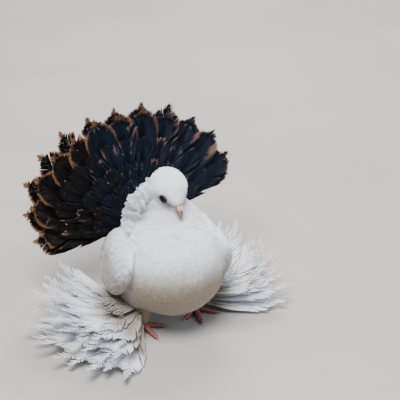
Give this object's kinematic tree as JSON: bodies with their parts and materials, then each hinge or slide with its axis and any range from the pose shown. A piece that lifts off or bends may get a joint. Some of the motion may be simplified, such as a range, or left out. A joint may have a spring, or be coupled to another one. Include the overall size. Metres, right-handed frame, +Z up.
{
  "type": "fantail pigeon",
  "caption": "Life-size still figure of a standing fantail pigeon, white with a raised dark tail fan and long feathered feet.",
  "frame": {"origin": "middle of the figure's bounding box, on the floor it stands on", "axes": "-Y is ahead of the bird, +X is its left side, +Z is up"},
  "size_m": [0.2762, 0.2162, 0.1899],
  "materials": {
    "white_plumage": "matt, soft white feathers",
    "black_plumage": "satin blue-black feathers, browner at the rims",
    "bill_horn": "satin pink horn",
    "cere_skin": "matt, powdery pale skin",
    "foot_skin": "satin red scaled skin",
    "claw_horn": "satin pale horn",
    "eye": "glossy, near black"
  },
  "bodies": {
    "root": {"torso": "white_plumage", "neck": "white_plumage", "head": "white_plumage", "wing_left": "white_plumage", "wing_right": "white_plumage", "leg_left": "white_plumage", "leg_right": "white_plumage", "tail": "black_plumage", "bill_upper": "bill_horn", "bill_lower": "bill_horn", "cere": "cere_skin", "eye_left": "eye", "eye_right": "eye", "foot_left": "foot_skin", "foot_right": "foot_skin", "claw_left_1": "claw_horn", "claw_left_2": "claw_horn", "claw_left_3": "claw_horn", "claw_left_4": "claw_horn", "claw_right_1": "claw_horn", "claw_right_2": "claw_horn", "claw_right_3": "claw_horn", "claw_right_4": "claw_horn"}
  },
  "joints": []
}
